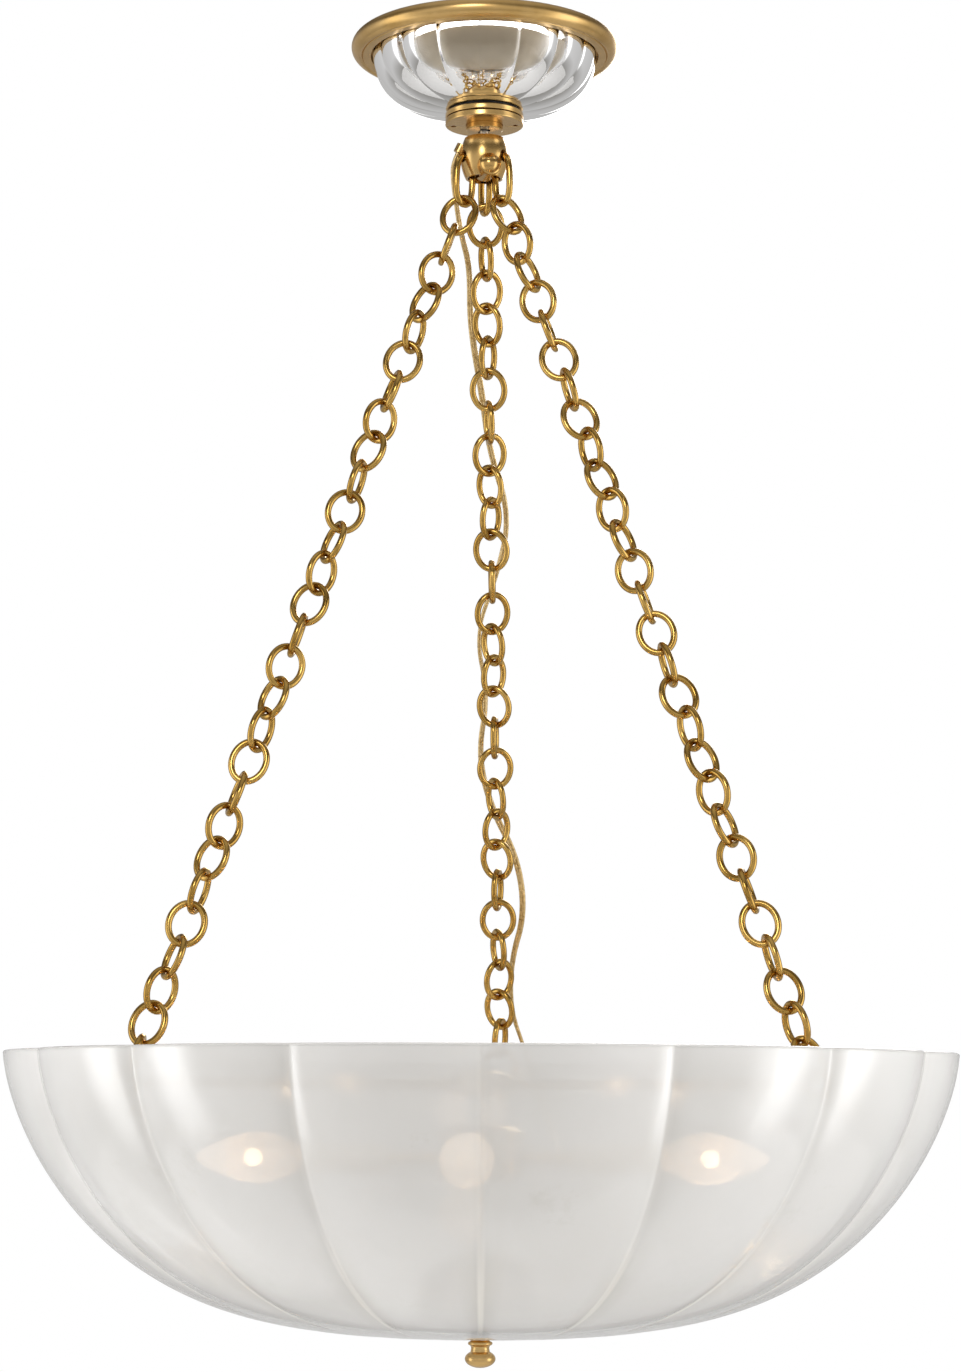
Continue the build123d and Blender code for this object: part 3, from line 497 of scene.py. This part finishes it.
disc = [
    (SEAT_BORE, DISC_LOW), (COLLAR_RADIUS, DISC_LOW), (COLLAR_RADIUS, DISC_TOP),
    (SPIGOT, DISC_TOP), (SPIGOT, FLANGE_TOP), (FLANGE_ROOM, FLANGE_TOP),
    (FLANGE_ROOM, FLANGE_LOW), (SEAT_BORE, FLANGE_LOW),
]
disc = spun(softened(disc, EDGE))
disc_piece = show("collar_disc", *disc, polished_brass, "canopy", "polished_brass", "collar_nut")
HOLE_OUT, HOLE_RADIUS, HOLE_DEPTH, HOLE_STEPS = 0.021, 0.0016, 0.0018, 32


def drilled(piece, lay, radius, depth):
    """Cuts a round hole into a piece, straight down from a place."""
    drill_mesh = bpy.data.meshes.new("drill")
    outline = [(0, -depth), (radius, -depth), (radius, depth), (0, depth)]
    vertices, faces = solid_spun(outline, HOLE_STEPS)
    drill_mesh.from_pydata([lay @ Vector(vertex) for vertex in vertices], [], faces)
    drill = bpy.data.objects.new("drill", drill_mesh)
    bpy.context.collection.objects.link(drill)
    cut = piece.modifiers.new("hole", "BOOLEAN")
    cut.object = drill
    cut.operation = "DIFFERENCE"
    cut.solver = "EXACT"
    shown = piece.evaluated_get(bpy.context.evaluated_depsgraph_get())
    mesh = bpy.data.meshes.new_from_object(shown)
    piece.modifiers.clear()
    piece.data = mesh
    bpy.data.objects.remove(drill)


for side in (-1, 1):
    drilled(disc_piece, Matrix.Translation((side * HOLE_OUT, 0, DISC_LOW)), HOLE_RADIUS, HOLE_DEPTH)


def finish_node(finish, slot, *nodes):
    """Gives a CAD node that is shown as it is its finish."""
    for name in nodes:
        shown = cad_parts[name]
        shown.data.materials.clear()
        shown.data.materials.append(finish.material)
        shown["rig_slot"] = slot


black_rubber = Finish("black_rubber", Roughness=0.7)
rubber_speck = black_rubber.noise(400.0)
RUBBER_DARK, RUBBER_GREY = (0.015, 0.015, 0.015, 1), (0.03, 0.03, 0.03, 1)
black_rubber.set(Base_Color=black_rubber.blend(rubber_speck, RUBBER_DARK, RUBBER_GREY))
black_rubber.bump(rubber_speck, 0.2, 0.0002)
finish_node(black_rubber, "rubber", "dish_gasket", "foot_pad", "cord_inlet")


# The hidden steel: the slotted ceiling bar, the threaded nipple and its nuts, the swivel's
# stud, the centre rod with its nuts and washer. All are bright zinc plate with a faint bloom.
zinc = Finish("zinc_plate", Metallic=1.0)
zinc_cloud = zinc.noise(60.0, 4.0, 0.65)
ZINC_BLUE, ZINC_YELLOW = (0.50, 0.50, 0.53, 1), (0.66, 0.64, 0.56, 1)
zinc.set(Base_Color=zinc.ramp(zinc_cloud, (0.3, ZINC_BLUE), (0.7, ZINC_YELLOW)))
zinc.set(Roughness=zinc_cloud * 0.2 + 0.22)
zinc.bump(zinc.noise(700.0), 0.15, 0.0001)
finish_node(zinc, "zinc_steel", "ceiling_bar", "canopy_nipple", "nipple_nut", "cup_nut")
finish_node(zinc, "zinc_steel", "swivel_stud", "centre_rod", "rod_nuts", "foot_washer")


# The swivel seat and the hub: turned brass. The hub is a hollow bell on a cross pin whose
# stepped, domed head stands out at the front right.
finish_node(polished_brass, "polished_brass", "swivel_seat", "hub_bell", "hub_pin", "cord_gland")


# The chains: round brass wire bent into oval links and brazed shut, each through the next.
# They are a darker brass than the canopy, with lighter and darker patches at random.
LINK_WIRE = 0.0044
LINK_LENGTH, LINK_WIDTH = 0.0316, 0.0266
LINK_PITCH = 0.02265
CHAIN_LINKS = 28
CHAIN_LEAN = math.radians(21.4)
FIRST_R, FIRST_Z = 0.0188, -0.1258
CHAIN_BEARING = {"left": 210, "right": 330, "back": 90}
LINK_TURNS = {"left": (-48.0, 69.5), "right": (20.0, 80.0), "back": (-4.0, 73.5)}
HUB_WIRE, HUB_WIDTH = 0.0046, 0.0204
HUB_TOP = (0.0144, -0.0842)
HUB_FOOT = (0.01559, -0.11761)
HUB_TURNS = {"left": 70.0, "right": 110.0, "back": 66.0}
HUB_STEPS, HUB_SQUARE = 48, 2.6
CHAIN_TINT, CHAIN_WORN = (0.62, 0.39, 0.11, 1), (0.40, 0.23, 0.05, 1)
chain_brass = brass("chain_brass", CHAIN_TINT, CHAIN_WORN, 0.20)


def oval(length, width, wire, steps=40, sides=14, square=2.0):
    """A round wire bent into a closed oval, its long way on Z and its width on X."""
    vertices, faces = [], []
    half_long, half_wide = (length - wire) / 2, (width - wire) / 2
    for step in range(steps):
        angle = 2 * math.pi * step / steps
        c, s = math.cos(angle), math.sin(angle)
        power = 2 / square
        x = half_wide * math.copysign(abs(c) ** power, c)
        z = half_long * math.copysign(abs(s) ** power, s)
        out = Vector((
            math.copysign(abs(x / half_wide) ** (square - 1), c) / half_wide, 0,
            math.copysign(abs(z / half_long) ** (square - 1), s) / half_long,
        )).normalized()
        for side in range(sides):
            around = 2 * math.pi * side / sides
            reach = wire / 2 * math.cos(around)
            vertices.append((x + out.x * reach, wire / 2 * math.sin(around), z + out.z * reach))
    for step in range(steps):
        here, there = step * sides, (step + 1) % steps * sides
        for side in range(sides):
            following = (side + 1) % sides
            faces.append((here + side, here + following, there + following, there + side))
    return vertices, faces


def hung(bearing, lean, turn, radius, z):
    """Where a link hangs: its long axis leans outward, and it is rolled about that axis."""
    down = Vector((math.sin(lean), 0, -math.cos(lean)))
    across = Vector((0, 1, 0))
    over = down.cross(across)
    roll = math.radians(turn)
    wide = across * math.cos(roll) + over * math.sin(roll)
    up = -down
    place = Matrix((wide, up.cross(wide), up)).transposed().to_4x4()
    around = Matrix.Rotation(math.radians(bearing), 4, "Z")
    return around @ Matrix.Translation((radius, 0, z)) @ place


def gathered(parts):
    """Several pieces of mesh, each with its own place, as one."""
    vertices, faces = [], []
    for (own, sides), lay in parts:
        start = len(vertices)
        vertices += [lay @ Vector(vertex) for vertex in own]
        faces += [tuple(start + index for index in side) for side in sides]
    return vertices, faces


for name, bearing in CHAIN_BEARING.items():
    start, step = LINK_TURNS[name]
    link = oval(LINK_LENGTH, LINK_WIDTH, LINK_WIRE)
    parts = []
    for count in range(CHAIN_LINKS):
        radius = FIRST_R + LINK_PITCH * count * math.sin(CHAIN_LEAN)
        z = FIRST_Z - LINK_PITCH * count * math.cos(CHAIN_LEAN)
        parts.append((link, hung(bearing, CHAIN_LEAN, start + step * count, radius, z)))
    links = gathered(parts)
    show("links_" + name, *links, chain_brass, "pendant", "antique_brass", "chain_" + name)

run, drop = HUB_FOOT[0] - HUB_TOP[0], HUB_FOOT[1] - HUB_TOP[1]
long_way = math.hypot(run, drop) + HUB_WIRE
long_link = oval(long_way, HUB_WIDTH, HUB_WIRE, HUB_STEPS, square=HUB_SQUARE)
parts = []
for name, bearing in CHAIN_BEARING.items():
    middle = (HUB_TOP[0] + run / 2, HUB_TOP[1] + drop / 2)
    parts.append((long_link, hung(bearing, math.atan2(run, -drop), HUB_TURNS[name], *middle)))
show("hub_long_links", *gathered(parts), chain_brass, "pendant", "antique_brass", "hub_links")


# The frame inside the bowl: a turned disc, three round arms with forged eyes, the wiring
# cluster with its lid, and four lamp arms.
finish_node(polished_brass, "polished_brass", "spider_hub", "cluster_body", "cluster_cap")
finish_node(chain_brass, "antique_brass", "spider_arm_left", "spider_arm_right", "spider_arm_back")
LAMP_BEARING = {"front": 270, "right": 0, "back": 90, "left": 180}
finish_node(polished_brass, "polished_brass", *("lamp_arm_" + name for name in LAMP_BEARING))
cream_plastic = Finish("cream_plastic", Roughness=0.45)
cream_speck = cream_plastic.noise(300.0)
CREAM_LIGHT, CREAM_DARK = (0.72, 0.62, 0.42, 1), (0.66, 0.56, 0.37, 1)
cream_plastic.set(Base_Color=cream_plastic.blend(cream_speck, CREAM_LIGHT, CREAM_DARK))
finish_node(cream_plastic, "connector_plastic", "wire_connectors")


# The lamps: a sleeve socket on each arm, and a small candle bulb with a frosted glass and a
# glowing core in it.
LAMP_Z = -0.758
BULB_RADIUS = 0.017
BULB_START, BULB_END = 0.11805, 0.18795
finish_node(champagne, "champagne_metal", *("lamp_socket_" + name for name in LAMP_BEARING))
finish_node(zinc, "zinc_steel", *("bulb_base_" + name for name in LAMP_BEARING))
frosted = Finish("frosted_bulb_glass", IOR=1.3, Emission_Strength=1.0)
frost = frosted.noise(260.0, 3.0)
FROST_PALE, FROST_PEACH = (1.0, 0.93, 0.84, 1), (1.0, 0.88, 0.76, 1)
GLOW_FOOT, GLOW_MIDDLE, GLOW_TIP = (0.35, 0.22, 0.12, 1), (1.0, 0.74, 0.48, 1), (2.1, 1.5, 1.0, 1)
CRACKLE_DIM, CRACKLE_BRIGHT = (0.82, 0.80, 0.78, 1), (1.15, 1.15, 1.15, 1)
FOOT_OPEN, TIP_CLOSED = (1, 1, 1, 1), (0.05, 0.05, 0.05, 1)
frosted.set(Base_Color=frosted.blend(frost, FROST_PALE, FROST_PEACH))
frosted.set(Roughness=frost * 0.2 + 0.25)
where = frosted.node("ShaderNodeSeparateXYZ", {}, {0: frosted.place()}).socket.node.outputs
east, north = Value(frosted.tree, where["X"]), Value(frosted.tree, where["Y"])
out = (east * east + north * north) ** 0.5
along = out * 10 - 1
near = frosted.ramp(along, (0.20, GLOW_FOOT), (0.52, GLOW_MIDDLE), (0.85, GLOW_TIP))
crackle = frosted.ramp(frost, (0.35, CRACKLE_DIM), (0.65, CRACKLE_BRIGHT))
frosted.set(Emission_Color=frosted.blend(1.0, near, crackle, "MULTIPLY"))
tip = frosted.ramp(along, (0.60, FOOT_OPEN), (0.72, TIP_CLOSED))
frosted.see_through(tip * (frost * 0.3 + 0.25))
core_light = Finish("lamp_core", Roughness=0.5)
CORE_PALE, CORE_PEACH = (1, 0.9, 0.8, 1), (1, 0.8, 0.6, 1)
CORE_AMBER, CORE_GOLD = (1, 0.66, 0.34, 1), (1, 0.8, 0.5, 1)
core_speck, core_cloud = core_light.noise(400.0), core_light.noise(200.0)
core_light.set(Base_Color=core_light.blend(core_speck, CORE_PALE, CORE_PEACH))
core_light.set(Emission_Color=core_light.ramp(core_cloud, (0.0, CORE_AMBER), (1.0, CORE_GOLD)))
core_light.set(Emission_Strength=24.0)
CORE_AT, CORE_RADIUS = 0.150, 0.006
BULB_STEPS, CORE_STEPS = 64, 24
bulb_length = BULB_END - BULB_START
bulb_side = [(0.0, 0.0), (0.0058, 0.0), (0.0085, 0.04), (0.0116, 0.13), (0.0148, 0.24)]
bulb_side += [(0.0166, 0.34), (BULB_RADIUS, 0.42), (0.0163, 0.53), (0.0143, 0.64)]
bulb_side += [(0.0112, 0.76), (0.0078, 0.87), (0.0045, 0.95), (0.0020, 0.99), (0.0, 1.0)]


def smoothed(points, rounds=2):
    """An open outline with its corners cut twice, so that it reads as one curve."""
    for _ in range(rounds):
        cut = [points[0]]
        for (x, y), (u, v) in zip(points, points[1:]):
            cut.append((0.75 * x + 0.25 * u, 0.75 * y + 0.25 * v))
            cut.append((0.25 * x + 0.75 * u, 0.25 * y + 0.75 * v))
        points = cut + [points[-1]]
    return points


outline = [(radius, BULB_START + share * bulb_length) for radius, share in smoothed(bulb_side)]
envelope = solid_spun(outline, BULB_STEPS)
ball = [(0, CORE_AT - CORE_RADIUS)] + arc((0, CORE_AT), CORE_RADIUS, -80, 80, 12)
core = solid_spun(ball + [(0, CORE_AT + CORE_RADIUS)], CORE_STEPS)
for name, bearing in LAMP_BEARING.items():
    lay = Matrix.Rotation(math.radians(bearing), 4, "Z") @ Matrix.Translation((0, 0, LAMP_Z))
    lay = lay @ Matrix.Rotation(math.pi / 2, 4, "Y")
    bulb = "bulb_" + name
    show(bulb, *envelope, frosted, bulb, "bulb_glass", "bulb_glass_" + name, lay=lay)
    show("core_" + name, *core, core_light, bulb, "bulb_glass", lay=lay)


# The bowl: white cased glass, blown into a mould with seventeen round flutes that close in to
# a flat foot. Clouds and a few faint veins run in it, and the lamps show through dimly.
BOWL_RADIUS, BOWL_DEPTH, BOWL_WALL = 0.313, 0.181, 0.005
BOWL_FLUTES, BOWL_FOCUS = 17, 0.537
BOWL_FULLNESS, BOWL_ROUNDNESS = 1.54, 3.15
BOWL_FOOT = math.radians(85)
BOWL_TURN = math.radians(19.3)
BOWL_HOLE = 0.006
BOWL_CREASE, BOWL_GROOVE = 0.012, 0.0042
BOWL_STEPS, BOWL_FLUTE_STEPS = 72, 32
RIM_Z = -0.690
RIM_ROUND = 0.0018
white_glass = Finish("white_cased_glass", IOR=1.5, Transmission_Weight=0.12)
white_glass.set(Coat_Weight=1.0, Coat_Roughness=0.03, Sheen_Weight=0.25, Sheen_Roughness=0.4)
cloud = white_glass.noise(7.0, 5.0, 0.62)
vein = white_glass.noise(16.0, 6.0, 0.7)
CASED_WHITE, CASED_CLOUD = (0.80, 0.79, 0.77, 1), (0.73, 0.72, 0.69, 1)
CASED_VEIN, CASED_PLAIN = (0.93, 0.92, 0.90, 1), (1, 1, 1, 1)
# Near the foot each crease gets a painted highlight: a base colour brighter than white along the
# crease, with a band of painted shade beside it.
CREASE_PAINTED_HIGHLIGHT, CREASE_PAINTED_SHADE = (1.22, 1.20, 1.13, 1), (0.86, 0.85, 0.82, 1)
CREASE_PAINT_FAINT = (0.12, 0.12, 0.12, 1)
THIN_GLASS, THICK_GLASS = (0.26, 0.26, 0.26, 1), (0.18, 0.18, 0.18, 1)
milk = white_glass.ramp(cloud, (0.42, CASED_WHITE), (0.78, CASED_CLOUD))
veined = white_glass.ramp(vein, (0.60, CASED_PLAIN), (0.72, CASED_VEIN))
split = white_glass.node("ShaderNodeSeparateXYZ", {}, {0: white_glass.place()}).socket.node.outputs
east, north, rise = (Value(white_glass.tree, split[axis]) for axis in "XYZ")
bearing = north.sum("ARCTAN2", north, east) - BOWL_TURN
crease = bearing.sum("PINGPONG", bearing, math.pi / BOWL_FLUTES) * (BOWL_FLUTES / math.pi)
# Painted highlight along each crease and painted shade beside it, faint near the rim and full
# toward the foot.
painted_crease_stops = ((0.0, CREASE_PAINTED_HIGHLIGHT), (0.03, CREASE_PAINTED_HIGHLIGHT), (0.07, CREASE_PAINTED_SHADE), (0.35, CASED_PLAIN))
painted_crease_light = white_glass.ramp(crease, *painted_crease_stops)
fallen = (rise - RIM_Z) * (-1 / BOWL_DEPTH)
painted_crease_reach = white_glass.ramp(fallen, (0.60, CREASE_PAINT_FAINT), (0.88, CASED_PLAIN))
painted_crease_light = white_glass.blend(painted_crease_reach, CASED_PLAIN, painted_crease_light)
milk = white_glass.blend(1.0, milk, veined, "MULTIPLY")
white_glass.set(Base_Color=white_glass.blend(1.0, milk, painted_crease_light, "MULTIPLY"))
white_glass.set(Roughness=cloud * 0.06 + 0.09)
white_glass.see_through(white_glass.ramp(cloud, (0.35, THIN_GLASS), (0.75, THICK_GLASS)))

bowl_shape = (BOWL_FULLNESS, BOWL_ROUNDNESS, BOWL_FOOT, BOWL_STEPS)
bowl_out = bowl_curve(BOWL_RADIUS, BOWL_DEPTH, *bowl_shape)
bowl_out = [(radius, RIM_Z + drop) for radius, drop in bowl_out[1:]]
bowl_in = bowl_curve(BOWL_RADIUS - BOWL_WALL, BOWL_DEPTH - BOWL_WALL, *bowl_shape)
bowl_in = [(radius, RIM_Z + drop) for radius, drop in bowl_in[1:]]
rim_out = arc((BOWL_RADIUS - RIM_ROUND, RIM_Z - RIM_ROUND), RIM_ROUND, 90, 0, 6)
rim_in = arc((BOWL_RADIUS - BOWL_WALL + RIM_ROUND, RIM_Z - RIM_ROUND), RIM_ROUND, 90, 180, 6)
bowl_out = rim_out + bowl_out + [(BOWL_HOLE, RIM_Z - BOWL_DEPTH)]
bowl_in = rim_in + bowl_in + [(BOWL_HOLE, RIM_Z - BOWL_DEPTH + BOWL_WALL)]
bowl_fluting = (BOWL_FLUTES, BOWL_FOCUS, BOWL_FLUTE_STEPS, BOWL_TURN, BOWL_CREASE, BOWL_GROOVE)
bowl = fluted_shell(bowl_out, bowl_in, *bowl_fluting)
show("bowl", *bowl, white_glass, "pendant", "white_glass", "glass_bowl", sharp=75)


# The finial: turned brass that screws on the rod and clamps the bowl over a thin pale washer.
# Two beads stand on its neck, above a ball that is a little flat.
nylon = Finish("pale_nylon", Roughness=0.4)
nylon_speck = nylon.noise(200.0)
NYLON_LIGHT, NYLON_DARK = (0.86, 0.84, 0.78, 1), (0.80, 0.78, 0.72, 1)
nylon.set(Base_Color=nylon.blend(nylon_speck, NYLON_LIGHT, NYLON_DARK))
finish_node(nylon, "pale_washer", "finial_washer")
FINIAL_TOP, FINIAL_STEPS = -0.8723, 96
finial = [(0.0, 0.0)] + arc((0.0066, -0.0013), 0.0013, 90, -90, 8)
finial += [(0.0061, -0.0030)] + arc((0.0068, -0.0048), 0.0012, 90, -90, 8)
finial += [(0.0061, -0.0068), (0.0059, -0.0080), (0.0061, -0.0090)]
finial += arc((0.0, -0.0147), 0.010, 51, -90, 24, 0.58)
finial_points = [(radius, FINIAL_TOP + height) for radius, height in finial]
finial_points[-1] = (0.0, FINIAL_TOP - 0.0205)
knob = solid_spun(finial_points, FINIAL_STEPS)
show("finial_knob", *knob, polished_brass, "pendant", "polished_brass", "finial", sharp=50)


# The supply cord: flat twin lamp cord with a clear gold jacket. It leaves the hub through a
# bush, winds down behind the back chain, sags in the bowl and enters the cluster.
CORD_WIDTH, CORD_THICK = 0.0046, 0.0026
CORD_ROUTE = [
    (-0.0179, 0.0, -0.0795),
    (-0.0214, 0.0002, -0.0866),
    (-0.0216, 0.0030, -0.0970),
    (-0.0195, 0.0085, -0.1130),
    (-0.0166, 0.0170, -0.1320),
    (-0.0120, 0.0420, -0.1490),
    (-0.0128, 0.0564, -0.1862),
    (-0.0060, 0.0764, -0.2268),
    (-0.0010, 0.0938, -0.2683),
    (0.0132, 0.1060, -0.3119),
    (0.0020, 0.1266, -0.3522),
    (-0.0134, 0.1368, -0.3910),
    (-0.0050, 0.1570, -0.4315),
    (-0.0130, 0.1690, -0.4730),
    (-0.0050, 0.1874, -0.5088),
    (0.0140, 0.1972, -0.5448),
    (0.0194, 0.2050, -0.5844),
    (0.0080, 0.2292, -0.6180),
    (0.0070, 0.2436, -0.6522),
    (0.0165, 0.2510, -0.6800),
    (0.0250, 0.2500, -0.7050),
    (0.0330, 0.2320, -0.7270),
    (0.0410, 0.1980, -0.7450),
    (0.0465, 0.1540, -0.7570),
    (0.0470, 0.1080, -0.7600),
    (0.0416, 0.0760, -0.7550),
    (0.0321, 0.0494, -0.7500),
    (0.01677, 0.02583, -0.7500),
]
route_curve = bpy.data.curves.new("cord_route", "CURVE")
route_curve.dimensions = "3D"
spline = route_curve.splines.new("NURBS")
spline.points.add(len(CORD_ROUTE) - 1)
for point, place in zip(spline.points, CORD_ROUTE):
    point.co = (*place, 1)
spline.order_u = 3
spline.use_endpoint_u = True
route_curve.resolution_u = 12
route_object = bpy.data.objects.new("cord_route", route_curve)
bpy.context.collection.objects.link(route_object)
line = bpy.data.meshes.new_from_object(route_object)
route = [vertex.co.copy() for vertex in line.vertices]
bpy.data.objects.remove(route_object)
bpy.data.meshes.remove(line)

gold_cord = Finish("gold_cord_jacket", Metallic=0.55, Coat_Weight=0.8, Coat_Roughness=0.12)
strand_noise = gold_cord.noise(420.0, 2.0)
CORD_BROWN, CORD_GOLD = (0.42, 0.27, 0.08, 1), (0.74, 0.54, 0.24, 1)
gold_cord.set(Base_Color=gold_cord.ramp(strand_noise, (0.3, CORD_BROWN), (0.7, CORD_GOLD)))
gold_cord.set(Roughness=strand_noise * 0.2 + 0.2)
gold_cord.bump(strand_noise, 0.3, 0.0002)
STRANDS_MEET = 0.82


def twin_section(width, thick, sides):
    """The outline of two round strands side by side, as (across, up)."""
    strand = thick / 2
    apart = width / 2 - strand
    dip = math.degrees(math.acos(STRANDS_MEET))
    half = arc((apart, 0), strand, -180 + dip, 180 - dip, sides)
    return half + [(-across, -up) for across, up in half]


def swept(route, section, twist):
    """A section carried along a line, turning steadily, with closed ends."""
    vertices, faces = [], []
    side = Vector((0, 1, 0))
    total = 0.0
    for index, place in enumerate(route):
        ahead = route[min(index + 1, len(route) - 1)] - route[max(index - 1, 0)]
        ahead.normalize()
        side = (side - ahead * side.dot(ahead)).normalized()
        if index:
            total += (place - route[index - 1]).length
        turned_side = Matrix.Rotation(total * twist, 3, ahead) @ side
        up = ahead.cross(turned_side)
        vertices += [place + turned_side * x + up * y for x, y in section]
    count = len(section)
    for index in range(len(route) - 1):
        here, there = index * count, (index + 1) * count
        for point in range(count):
            following = (point + 1) % count
            faces.append((here + point, here + following, there + following, there + point))
    faces.append(tuple(reversed(range(count))))
    faces.append(tuple(range((len(route) - 1) * count, len(route) * count)))
    return vertices, faces


CORD_TWIST = 9.0
cord = show(
    "lamp_cord", *swept(route, twin_section(CORD_WIDTH, CORD_THICK, 10), CORD_TWIST), gold_cord,
    "pendant", "cord_plastic", "supply_cord", sharp=60,
)
[tuple(point) for point in route]
